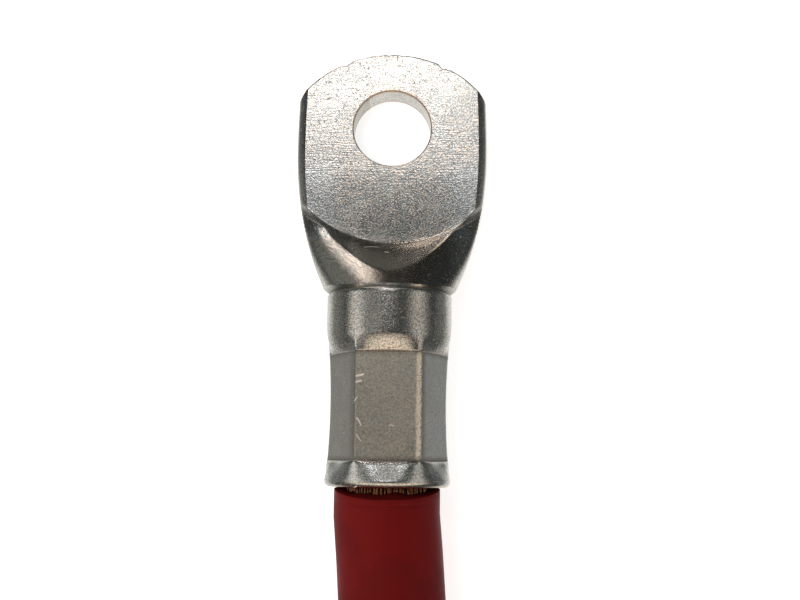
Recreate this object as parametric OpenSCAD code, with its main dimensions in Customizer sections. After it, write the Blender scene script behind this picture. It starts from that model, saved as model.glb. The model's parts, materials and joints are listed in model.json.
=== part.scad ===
// Copper cable lug, pressed from one length of tube and crimped onto the end of a
// stranded cable. The palm lies in the XY plane with the axis of its stud hole on Z,
// its back at z = 0 and its tip towards +Y. Barrel and cable run towards -Y.

/* [Cable] */
// Diameter of the stranded copper core
core_d = 8.1; // [6:0.1:14]
// Thickness of the jacket round the core
jacket_wall = 1.2; // [0.6:0.1:2]
// Bare core between the mouth of the barrel and the jacket
bare_l = 1.2; // [0.4:0.1:4]

/* [Tube] */
// Wall of the tube that the lug is pressed from
wall = 2; // [1.2:0.1:3]
// Room between the core and the tube before it is crimped
core_clearance = 0.3; // [0.1:0.05:0.5]
// Round part of the tube, from the shoulder to the mouth
barrel_l = 19.1; // [16:0.1:40]
// Rounding of the rim at the mouth
rim_r = 0.6; // [0.2:0.1:0.9]

/* [Crimp] */
// How much the hexagonal die closes the tube across its flats
squeeze = 2; // [1:0.1:2.6]
// Length that the die presses
crimp_l = 10.3; // [6:0.1:13]
// Flared mouth left standing below the die
mouth_l = 2.6; // [1.6:0.1:5]
// Slope that runs back up to the round tube at each end of the die
slope_l = 2; // [1:0.1:3]
// Small step that the edge of the die leaves
die_step = 0.1; // [0.05:0.05:0.3]
// How far the corners at the parting line of the die stay unfilled
corner_draw = 0.55; // [0.2:0.05:1]

/* [Palm] */
// Width across the flattened tube
palm_w = 20.7; // [16:0.1:30]
// Thickness of the coined palm
palm_t = 3.4; // [2.4:0.1:5]
// Stud hole
stud_d = 8.4; // [4:0.1:11]
// From the centre of the stud hole to the sheared tip
tip_reach = 8.4; // [7:0.1:16]
// Radius of the sheared tip
tip_r = 12.8; // [12.5:0.1:30]
// How far the folded edges bulge past the flat faces
edge_bulge = 1; // [0.5:0.1:1.6]
// How much narrower the palm is at its tip than at its widest
palm_taper = 0.8; // [0:0.1:2]

/* [Neck] */
// From the centre of the stud hole to the end of the flat, along the middle
flat_reach = 12.6; // [10:0.1:20]
// How much sooner the flat ends along the folded edges
flat_bow = 4.6; // [2:0.1:6]
// Rise from the end of the flat to the shoulder
neck_l = 6; // [4:0.1:10]
// How steeply the press tool rises past the flat
cone_slope = 1.75; // [1.2:0.05:2.5]
// Rounding at the foot of that slope
cone_foot = 0.6; // [0.2:0.1:1.5]
// How far the neck stands out past the tube at the shoulder, on each side
shoulder_flare = 0.3; // [0:0.05:0.6]
// How far the top of the neck stays below the top of the tube at the shoulder
shoulder_drop = 0.3; // [0.1:0.05:0.6]
// How much sooner the neck ends at its sides than in the middle
shoulder_bow = 0.5; // [0:0.1:1]
// Groove between the shoulder and the round tube
groove_l = 0.4; // [0.2:0.1:1]

/* [Hidden] */
$fn = 96;

// Radii of the nested round pieces
core_r = core_d / 2;
bore_r = core_r + core_clearance;
tube_r = bore_r + wall;
jacket_r = core_r + jacket_wall;
// The jacket grips the core, which is a little smaller inside it
grip = 0.05;
gripped_r = core_r - grip;

// Places along the lug, as distances from the stud hole towards the cable
widest_at = 2;
cheek_at = flat_reach - flat_bow;
shoulder_at = flat_reach + neck_l;
barrel_at = shoulder_at + groove_l;
mouth_at = barrel_at + barrel_l;
crimp_end = mouth_at - mouth_l;
crimp_at = crimp_end - crimp_l;
core_at = barrel_at + 1;
jacket_at = mouth_at + bare_l;

// Across flats of the crimp outside, and of the core pressed solid inside it
crimp_af = 2 * tube_r - squeeze;
core_af = crimp_af - 2 * wall;
// The waist that the unfilled corners leave starts this far from the die
waist_run = 3.3;
// How far the die's slopes run on past the round tube
die_slack = 0.4;

// Section of the neck where it reaches the shoulder
neck_w = tube_r + shoulder_flare;
neck_h = 2 * tube_r - shoulder_drop;
// How fast the tube opens out from the palm to the barrel, sideways and upwards
fold_power = 2.1;
rise_power = 1.6;
// Share of the neck over which the flat on top of the folded tube closes
flat_closes = 0.12;
// Rounding of the ridges between the press tool's cone and the folded cheeks
ridge = 0.6;
// How deep the root of the neck is seated inside the barrel
root = 0.35;
// How little the round pieces inside stay clear of the bore's own surface
bore_skin = 0.05;

// The pressed tube closes up inside the neck, down to this gap
seam_at = flat_reach + 0.9;
seam_h = 0.3;
open_rate = 0.8;

// Straight rings of the palm, from past its tip to the start of its narrowing
palm_rings = [-tip_reach - 2, -tip_reach / 3, widest_at, mix(widest_at, cheek_at, 0.5)];

// Facets: steps up half a side, points across the front and the back, rings up the neck
side_n = 6;
front_n = 25;
back_n = 7;
neck_rings = 24;
// The points of a side end at this angle above and below its widest line
side_turn = 45;
// Rings along the seam cavity, and the angle step round them
cavity_rings = 8;
cavity_step = 15;

// Route of the cable past its jacket's front: sideways, along, and sunk from 0, in line
// with the barrel, to 1, lying on the surface that the palm lies on
route = [[0, 0, 0], [0, 1.5, 0], [0.3, 5, 0.05], [0.6, 9.5, 0.15], [0.9, 14, 0.3],
    [1.2, 18.5, 0.45], [1.5, 23, 0.6], [1.8, 27.5, 0.75], [2.1, 32, 0.87], [2.4, 36.5, 0.95],
    [2.8, 41, 1], [3.2, 45.5, 1], [3.7, 50, 1], [4.2, 54.5, 1], [4.8, 59, 1],
    [5.4, 63.5, 1], [6.1, 68, 1]];
cable_sides = 12;

// Between a and b, by the share t
function mix(a, b, t) = a + (b - a) * t;
// How far d has come from one place to the other, kept within 0 and 1
function share(d, from, to) = max(0, min(1, (d - from) / (to - from)));

// The smaller of two heights, with the edge where they cross rounded off over r
function lower(a, b, r) = min(a, b) - (r > 0 ? pow(max(0, r - abs(a - b)), 2) / (4 * r) : 0);

// Half the width of palm and neck at distance d from the stud hole
function half_width(d) =
    d < widest_at
        ? palm_w / 2 - palm_taper / 2 * pow((widest_at - d) / (widest_at + tip_reach), 2)
        : mix(palm_w / 2, neck_w, pow(share(d, widest_at, shoulder_at), fold_power));

// How far the tube has opened at d, from 0 on the palm to 1 at the shoulder
function fold(d) = share(d, cheek_at, shoulder_at);

// Height that the press tool leaves over the palm and up its cone about the stud hole
function cone_h(x, d) =
    let (out = max(0, norm([x, d]) - flat_reach))
    palm_t + cone_slope * out * out / (out + cone_foot);

// One closed ring of a section of half width w. It is flat out to the reaches front and
// back, and its sides are rounded over what is left: power 2 gives them a crease at the
// flat, and 1 gives ellipses. Their points are spread by angle up to turn, and those
// between the sides evenly. place(x, up) gives the point at x, with up from -1 to 1.
function ring(w, front, back, power, turn, place) = let (
        side = function (flat, a) flat + (w - flat) * pow(cos(a), power),
        up = function (flat, x) abs(x) <= flat ? 1
            : sqrt(1 - pow((abs(x) - flat) / (w - flat), 2 / power)),
        front_x = side(front, turn), back_x = side(back, turn),
        half = [for (k = [-side_n : side_n]) let (a = turn * k / side_n)
            [side(k > 0 ? front : back, a), sin(a)]])
    concat(
        [for (p = half) place(p[0], p[1])],
        [for (i = [1 : front_n]) let (x = front_x * (1 - 2 * i / (front_n + 1)))
            place(x, up(front, x))],
        [for (k = [2 * side_n : -1 : 0]) place(-half[k][0], half[k][1])],
        [for (i = [1 : back_n]) let (x = -back_x * (1 - 2 * i / (back_n + 1)))
            place(x, -up(back, x))]);

// A ring that runs at distance middle along the centre line and at distance edge along
// the sides, folded from the tube and then pressed down by the tool
function pressed_ring(middle, edge) =
    let (w = half_width(edge), f = fold(edge), closed = min(1, f / flat_closes),
        flat = w - edge_bulge)
    ring(w, flat * (1 - closed * closed), flat * (1 - f), 1 + (1 - f) * (1 - f),
        mix(90, side_turn, min(1, 2 * f)), function (x, up)
            let (d = mix(middle, edge, pow(x / w, 2)), opened = fold(d),
                z = mix(palm_t, neck_h, pow(opened, rise_power)) * (1 + up) / 2)
            [x, -d, up > 0 ? lower(z, cone_h(x, d), ridge * sqrt(opened)) : z]);

// The last ring is round and stands inside the end of the barrel
function root_ring() =
    let (r = tube_r - root)
    ring(r, 0, 0, 1, side_turn, function (x, up) [x, -barrel_at - root, tube_r + r * up]);

// A ring of the seam cavity, which opens from a closed slit to the bore. Its t runs from
// 0 to 1, and open_rate keeps it narrow where the palm is still pressed.
function cavity_ring(t) =
    let (open = pow(t, open_rate), d = mix(seam_at, barrel_at + root, t),
        w = mix(half_width(seam_at) - wall, bore_r - bore_skin, open),
        h = mix(seam_h / 2, bore_r - bore_skin, open), middle = mix(palm_t / 2, tube_r, open))
    [for (a = [0 : cavity_step : 359]) [w * cos(a), -d, middle + h * sin(a)]];

// Skins a list of rings of equal length. The two ends are fans round their own middle
// points, or looped joins the last ring to the first. The facets split each four points
// towards the middle plane, so that both halves of the neck have the same ridges.
module skin(rings, looped = false) {
    n = len(rings[0]);
    last = len(rings) - 1;
    total = n * len(rings);
    ends = looped ? [] : [for (r = [rings[0], rings[last]]) [for (p = r) 1] * r / n];
    points = [each each rings, each ends];
    sides = [for (k = [0 : looped ? last : last - 1], i = [0 : n - 1])
        let (a = k * n + i, b = k * n + (i + 1) % n, c = (b + n) % total, d = (a + n) % total)
        each abs(points[b][0]) < abs(points[a][0]) ? [[a, c, b], [a, d, c]] : [[a, d, b], [d, c, b]]];
    fans = looped ? [] : [for (i = [0 : n - 1]) let (j = (i + 1) % n)
        each [[i, j, total], [last * n + j, last * n + i, total + 1]]];
    polyhedron(points, concat(sides, fans), convexity = 6);
}

// Turns a shape built along +Z to lie along the barrel
module along_barrel() {
    translate([0, 0, tube_r]) rotate([90, 0, 0]) children();
}

// Palm and neck as one flattened tube, still without its tip, hole or seam
module pressed_tube() {
    skin(concat(
        [for (d = palm_rings) pressed_ring(d, d)],
        [for (k = [0 : neck_rings]) let (v = k / neck_rings)
            pressed_ring(mix(flat_reach, shoulder_at + shoulder_bow / 3, v),
                mix(cheek_at, shoulder_at - shoulder_bow * 2 / 3, v))],
        [root_ring()]));
}

// Everything past the round sheared tip
module tip_waste() {
    translate([0, tip_reach - tip_r, -1]) difference() {
        translate([-palm_w, 0, 0]) cube([2 * palm_w, 2 * tip_r, palm_t + 2]);
        translate([0, 0, -1]) cylinder(r = tip_r, h = palm_t + 4);
    }
}

// The round tube with its rounded mouth
module barrel_blank() {
    rotate_extrude() {
        translate([0, barrel_at]) square([tube_r, barrel_l - rim_r]);
        translate([0, barrel_at]) square([tube_r - rim_r, barrel_l]);
        translate([tube_r - rim_r, mouth_at - rim_r]) circle(rim_r);
    }
}

// The space inside the closed die: a hexagon that opens out at both ends until it
// clears a round bar of radius r
module die_space(af, r, step = 0) {
    corner = 1 / cos(30);
    edge_r = (af / 2 + step) * corner;
    open_r = (r + die_slack) * corner;
    run = slope_l * (open_r - edge_r) / (r * corner - edge_r);
    clear = (slope_l + run) / 2;
    translate([0, 0, crimp_at - slope_l / 2])
        cylinder(r = af / 2 * corner, h = crimp_l + slope_l, $fn = 6);
    translate([0, 0, crimp_end]) cylinder(r1 = edge_r, r2 = open_r, h = run, $fn = 6);
    translate([0, 0, crimp_end + clear]) cylinder(r = 2 * r, h = mouth_at);
    translate([0, 0, crimp_at - run]) cylinder(r1 = open_r, r2 = edge_r, h = run, $fn = 6);
    cylinder(r = 2 * r, h = crimp_at - clear);
}

// Shallow scoops that leave the parting-line corners of the crimp unfilled
module corner_scoops() {
    reach = crimp_l / 2 + waist_run;
    scoop_r = (reach * reach + corner_draw * corner_draw) / (2 * corner_draw);
    for (side = [-1, 1])
        translate([side * (tube_r - corner_draw + scoop_r), -tube_r - 1, crimp_at + crimp_l / 2])
            rotate([-90, 0, 0]) cylinder(r = scoop_r, h = 2 * tube_r + 2, $fn = 360);
}

// Bore of the barrel, closed to the pressed core inside the crimp
module bore() {
    intersection() {
        translate([0, 0, barrel_at]) cylinder(r = bore_r, h = barrel_l + 1);
        die_space(core_af, bore_r);
    }
    translate([0, 0, mouth_at - rim_r]) cylinder(r1 = bore_r, r2 = bore_r + rim_r, h = rim_r);
}

module crimped_barrel() {
    difference() {
        intersection() {
            barrel_blank();
            die_space(crimp_af, tube_r, die_step);
        }
        corner_scoops();
    }
}

module lug() {
    color([0.74, 0.73, 0.70]) difference() {
        union() {
            pressed_tube();
            along_barrel() crimped_barrel();
        }
        tip_waste();
        translate([0, 0, -1]) cylinder(d = stud_d, h = palm_t + 2);
        along_barrel() bore();
        skin([for (k = [0 : cavity_rings]) cavity_ring(k / cavity_rings)]);
    }
}

// A point of the route in the part's own frame
function place(p) = [p[0], -jacket_at - p[1], mix(tube_r, jacket_r, p[2])];
// A vector of length 1 in the direction of v
function unit(v) = v / norm(v);

// Rings of radius r square to the route, which starts straight out of the barrel
function cable_rings(r) = [for (i = [0 : len(route) - 1])
    let (last = len(route) - 1,
        ahead = unit(place(route[min(i + 1, last)]) - place(route[i == last ? i - 1 : i])),
        behind = unit(place(route[max(i, 1)]) - place(route[max(i - 1, 0)])),
        t = unit(ahead + behind), across = unit(cross([0, 0, 1], t)), up = cross(t, across))
    [for (k = [0 : cable_sides - 1]) let (a = 360 * k / cable_sides)
        place(route[i]) + r * (cos(a) * across + sin(a) * up)]];

// Stranded core: pressed solid in the crimp, bare at the mouth, then under the jacket
module conductor() {
    lead_in = [for (p = cable_rings(gripped_r)[0]) p + [0, bare_l / 2, 0]];
    color([0.72, 0.42, 0.26]) {
        along_barrel() intersection() {
            translate([0, 0, core_at]) cylinder(r = core_r, h = jacket_at - core_at);
            die_space(core_af, bore_r);
        }
        skin(concat([lead_in], cable_rings(gripped_r)));
    }
}

// Jacket as one tube with a real wall
module cable_jacket() {
    outside = cable_rings(jacket_r);
    inside = cable_rings(gripped_r);
    color([0.42, 0.07, 0.08])
        skin(concat(outside, [for (i = [len(inside) - 1 : -1 : 0]) inside[i]]), looped = true);
}

lug();
conductor();
cable_jacket();
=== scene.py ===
"""Copper cable lug, hexagon crimped onto a short red cable, with its finishes and its stage.

The palm lies in the XY plane with the axis of its stud hole on Z, and its tip points
towards +Y. The barrel and the cable run towards -Y. Distances along the lug are measured
from the stud hole towards the cable, so that a distance d lies at y = -d.
"""

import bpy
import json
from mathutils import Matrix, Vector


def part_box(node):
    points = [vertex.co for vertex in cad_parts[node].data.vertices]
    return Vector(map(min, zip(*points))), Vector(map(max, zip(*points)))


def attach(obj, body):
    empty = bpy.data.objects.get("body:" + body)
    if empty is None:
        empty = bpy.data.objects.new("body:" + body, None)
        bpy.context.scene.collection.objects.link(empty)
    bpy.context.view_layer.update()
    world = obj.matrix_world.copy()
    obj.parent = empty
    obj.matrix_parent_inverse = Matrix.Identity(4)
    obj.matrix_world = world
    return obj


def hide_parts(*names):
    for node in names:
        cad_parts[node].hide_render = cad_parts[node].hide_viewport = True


bl_info = {
    "name": "Crimped Cable Lug",
    "version": (1, 0, 0),
    "blender": (4, 5, 0),
    "location": "View3D > Sidebar > Cable Lug",
    "description": "Builds a hexagon crimped cable lug on a stranded cable",
    "category": "Add Mesh",
}

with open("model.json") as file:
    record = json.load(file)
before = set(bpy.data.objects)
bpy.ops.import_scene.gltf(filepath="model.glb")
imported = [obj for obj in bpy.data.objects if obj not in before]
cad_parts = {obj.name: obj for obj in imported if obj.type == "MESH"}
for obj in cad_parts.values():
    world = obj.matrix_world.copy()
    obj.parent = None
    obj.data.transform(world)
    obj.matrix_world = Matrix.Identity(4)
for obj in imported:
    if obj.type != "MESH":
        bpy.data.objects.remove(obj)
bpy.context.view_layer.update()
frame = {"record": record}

import json
import math
import random

import bmesh
import bpy
from mathutils import Matrix, Vector, noise

MM = 0.001
LUG_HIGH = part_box("lug")[1]
STUD = next(m for m in frame["record"]["mounts"] if m["name"] == "stud_hole")

# Route of the cable past its jacket's front: sideways and along in millimetres, and sunk from
# 0, in line with the barrel, to 1, lying on the surface that the palm lies on
ROUTE = (
    (0, 0, 0), (0, 1.5, 0), (0.3, 5, 0.05), (0.6, 9.5, 0.15), (0.9, 14, 0.3), (1.2, 18.5, 0.45),
    (1.5, 23, 0.6), (1.8, 27.5, 0.75), (2.1, 32, 0.87), (2.4, 36.5, 0.95), (2.8, 41, 1),
    (3.2, 45.5, 1), (3.7, 50, 1), (4.2, 54.5, 1), (4.8, 59, 1), (5.4, 63.5, 1), (6.1, 68, 1),
)



# Properties

def length(name, description, default):
    """A size in metres."""
    return bpy.props.FloatProperty(
        name=name, description=description, default=default, min=0, unit="LENGTH", precision=5
    )


def colour(name, description, *default):
    """A colour, from its red, green and blue."""
    return bpy.props.FloatVectorProperty(
        name=name, description=description, default=(*default, 1), size=4, min=0, max=1,
        subtype="COLOR",
    )


class LugSizes(bpy.types.PropertyGroup):
    """Sizes of the lug."""

    tube_radius: length("Tube Radius", "Outside radius of the tube", LUG_HIGH.z / 2)
    wall: length("Wall", "Wall of the tube", 2 * MM)
    barrel: length("Barrel", "Length of the round part, from shoulder to mouth", 19.1 * MM)
    rim: length("Rim", "Rounding of the mouth", 0.6 * MM)
    palm_width: length("Palm Width", "Width across the palm", 2 * LUG_HIGH.x)
    palm_thickness: length("Palm Thickness", "Thickness of the coined palm", 3.4 * MM)
    stud_radius: length("Stud Hole", "Radius of the stud hole", STUD["dims"]["r_mm"] * MM)
    tip_reach: length("Tip Reach", "From the stud hole to the sheared tip", LUG_HIGH.y)
    tip_radius: length("Tip Radius", "Radius of the sheared tip", 12.8 * MM)
    edge_bulge: length("Edge Bulge", "Bulge of the folded edges", 1 * MM)
    palm_taper: length("Palm Taper", "Narrowing of the palm to its tip", 0.8 * MM)
    flat_reach: length("Flat Reach", "From the stud hole to the end of the flat", 12.6 * MM)
    flat_bow: length("Flat Bow", "How much sooner the flat ends at the edges", 4.6 * MM)
    neck: length("Neck", "Rise from the flat to the shoulder", 6 * MM)
    shoulder_flare: length("Shoulder Flare", "Neck past the tube on each side", 0.3 * MM)
    shoulder_drop: length("Shoulder Drop", "Neck below the top of the tube", 0.3 * MM)
    groove: length("Groove", "Groove between shoulder and barrel", 0.4 * MM)
    squeeze: length("Squeeze", "How much the die closes the tube across flats", 2 * MM)
    crimp: length("Crimp", "Length that the die presses", 10.3 * MM)
    mouth: length("Mouth", "Flared mouth left below the die", 2.6 * MM)
    slope: length("Slope", "Slope at each end of the die", 2 * MM)
    die_step: length("Die Step", "Step left by the edge of the die", 0.1 * MM)
    corner_draw: length("Corner Draw", "How far the side corners stay unfilled", 0.55 * MM)


class CableSizes(bpy.types.PropertyGroup):
    """Sizes of the cable."""

    core_radius: length("Core Radius", "Radius of the stranded core", 4.05 * MM)
    jacket_wall: length("Jacket Wall", "Thickness of the jacket", 1.2 * MM)
    bare: length("Bare Core", "Bare core between mouth and jacket", 1.2 * MM)
    wire: length("Wire", "Diameter of one wire", 0.254 * MM)


class Colours(bpy.types.PropertyGroup):
    """Colours of the metal and of the jacket."""

    cool_tin: colour("Cool Tin", "Darker side of the tin's speckle", 0.42, 0.45, 0.46)
    warm_tin: colour("Warm Tin", "Lighter side of the tin's speckle", 0.87, 0.78, 0.70)
    pressed_tin: colour("Pressed Tin", "Tin that the die has pressed", 1.0, 0.85, 0.66)
    # The colour laid on the paler places: the palm's lower corners, the mouth and the crimp's
    # right
    pale_tin: colour("Pale Tin", "Chalky tin", 0.93, 0.95, 0.95)
    # Also a painted highlight along the crimp's corner
    rubbed_tin: colour("Rubbed Tin", "The rubbed corner of the crimp", 1.0, 0.88, 0.70)
    # Also painted glints on the scratches and nicks
    torn_tin: colour("Torn Tin", "Scratches and nicks", 1.0, 0.95, 0.89)
    worn_copper: colour("Worn Copper", "Copper where the tin is gone", 0.66, 0.42, 0.26)
    # Grime, and also the colour of painted shade on the crimp, the neck, the groove and the
    # hole's wall
    grime: colour("Grime", "Dirt and dark staining", 0.16, 0.14, 0.11)
    bright_copper: colour("Bright Copper", "The brightest wires", 0.66, 0.30, 0.16)
    brown_copper: colour("Brown Copper", "Browned wires", 0.2, 0.07, 0.035)
    # Painted shade deep in the bundle
    deep_copper: colour("Deep Copper", "Wires deep in the bundle", 0.05, 0.012, 0.008)
    jacket: colour("Jacket", "The jacket", 0.175, 0.008, 0.008)
    dull_jacket: colour("Dull Jacket", "Cloudy places on the jacket", 0.15, 0.0075, 0.008)
    scuffed_jacket: colour("Scuffed Jacket", "Scuffs on the jacket", 0.3, 0.1, 0.1)
    # Painted shade on the jacket's cut face and inside
    cut_jacket: colour("Cut Jacket", "The jacket's cut face", 0.05, 0.006, 0.006)


class StageSettings(bpy.types.PropertyGroup):
    """The camera."""

    lens: bpy.props.FloatProperty(
        name="Lens", description="Focal length in millimetres", default=45.0, min=20.0
    )
    tilt: bpy.props.FloatProperty(
        name="Tilt", description="Tilt of the camera from straight down",
        default=math.radians(9.25), subtype="ANGLE",
    )
    roll: bpy.props.FloatProperty(
        name="Roll", description="Turn of the camera",
        default=math.radians(0.67), subtype="ANGLE",
    )
    place: bpy.props.FloatVectorProperty(
        name="Place", description="Where the camera stands",
        default=(1.25 * MM, -35.75 * MM, 107.2 * MM), subtype="TRANSLATION",
    )


# Shared helpers

# Points closer than this are one point
SAME_POINT = 1e-8
# A face is level when its normal is at least this near to straight up or down
LEVEL = 0.99995


def mix(a, b, t):
    """The value t of the way from a to b."""
    return a + (b - a) * t


def share(d, start, end):
    """How far d has come from start to end, kept within 0 and 1."""
    return max(0.0, min(1.0, (d - start) / (end - start)))


def ease(t):
    """A share that starts and ends gently."""
    return t * t * (3 - 2 * t)


def steps(start, end, count):
    """Evenly spaced places from start up to just before end."""
    return [mix(start, end, k / count) for k in range(count)]


def bumps(x, y, z, size, seed=0.0):
    """Smooth noise from about -1 to 1, with bumps of the given size."""
    return noise.noise(Vector((x / size + seed, y / size + seed, z / size - seed)))


def wrapped_sheet(name, rings, closed=False):
    """Rolls a flat grid into a tube, one row of the grid to each ring of points.
    The ends are capped, or closed joins the last ring to the first."""
    around = len(rings[0])
    bm = bmesh.new()
    rows = rings + rings[:1] if closed else rings
    bmesh.ops.create_grid(bm, x_segments=around, y_segments=len(rows) - 1, size=1)
    bm.verts.ensure_lookup_table()
    for index, vert in enumerate(bm.verts):
        row, column = divmod(index, around + 1)
        vert.co = rows[row][column % around]
    bmesh.ops.remove_doubles(bm, verts=bm.verts, dist=SAME_POINT)
    if not closed:
        bmesh.ops.holes_fill(bm, edges=[e for e in bm.edges if e.is_boundary])
    bmesh.ops.recalc_face_normals(bm, faces=bm.faces)
    return make_object(name, bm)


def make_object(name, bm):
    """A new object in the scene, made from the mesh being built."""
    mesh = bpy.data.meshes.new(name)
    bm.to_mesh(mesh)
    bm.free()
    obj = bpy.data.objects.new(name, mesh)
    bpy.context.scene.collection.objects.link(obj)
    return obj


def smooth(obj, angle):
    """Shades smooth, with edges sharper than the angle kept crisp."""
    obj.data.shade_smooth()
    obj.data.set_sharp_from_angle(angle=math.radians(angle))


def keep_flats_flat(obj):
    """Keeps the level faces evenly shaded, with a crisp edge all round them."""
    mesh = obj.data
    level = [abs(face.normal.z) > LEVEL for face in mesh.polygons]
    faces_of = {}
    for face in mesh.polygons:
        for key in face.edge_keys:
            faces_of.setdefault(key, []).append(level[face.index])
    for edge in mesh.edges:
        if len(set(faces_of[edge.key])) == 2:
            edge.use_edge_sharp = True


def settle(obj):
    """Replaces the mesh by what its modifiers make of it."""
    finished = obj.evaluated_get(bpy.context.evaluated_depsgraph_get())
    mesh = bpy.data.meshes.new_from_object(finished)
    obj.modifiers.clear()
    obj.data = mesh
    mesh.name = obj.name


def cut(obj, tool):
    """Takes the tool's shape out of the object for good, and removes the tool."""
    modifier = obj.modifiers.new("cut", "BOOLEAN")
    modifier.operation = "DIFFERENCE"
    modifier.solver = "EXACT"
    modifier.object = tool
    settle(obj)
    bpy.data.objects.remove(tool)


def finish_piece(obj, node, material):
    """Gives a piece its material, and says which node of the part it replaces."""
    obj.data.materials.clear()
    obj.data.materials.append(material)
    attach(obj, "root")
    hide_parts(node)


# The form of the lug

# Points round the lug: each folded side, the front and the back
SIDE_N, FRONT_N, BACK_N = 28, 108, 76
AROUND = 2 * SIDE_N + FRONT_N + BACK_N
# Angle of the first point round the barrel, which is the lower edge of the right side
FIRST_ANGLE = -33
# Fine steps along one section, before its points are spread out
SECTION_STEPS = 90
# How fast the tube opens out, sideways and upwards
FOLD_POWER, RISE_POWER = 2.1, 1.6
# Share of the neck over which the flat on top of the folded tube closes
FLAT_CLOSES = 0.12
# The press tool ends in a steep cone about the stud hole: its rise for each millimetre
# outwards, the rounding at its foot, and that of the ridge where it meets the folded tube
CONE_SLOPE, CONE_FOOT, RIDGE = 1.87, 0.85 * MM, 0.2 * MM
# Rounding of the crimp's corners, and how much of its upper right corner is rubbed off: the
# die closed a little out of line. The angle of that corner, and the width of its rub
CORNERS, RUBBED = 0.12 * MM, 0.15 * MM
RUBBED_CORNER, CORNER_RIM = 60, 0.05 * MM
# The edge of the die steps up over this length
DIE_EDGE = 0.12 * MM
# The side corners stay unfilled to this far past each end of the crimp
UNFILLED_PAST = 3.3 * MM
# Just past the die the hexagon softens: the length that it takes, its radius as a share of
# half the width across flats, and how much is added to that at the corners
SOFTENS_IN, SOFT_FLAT, SOFT_CORNER = 0.3 * MM, 1.03, 0.11


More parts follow.
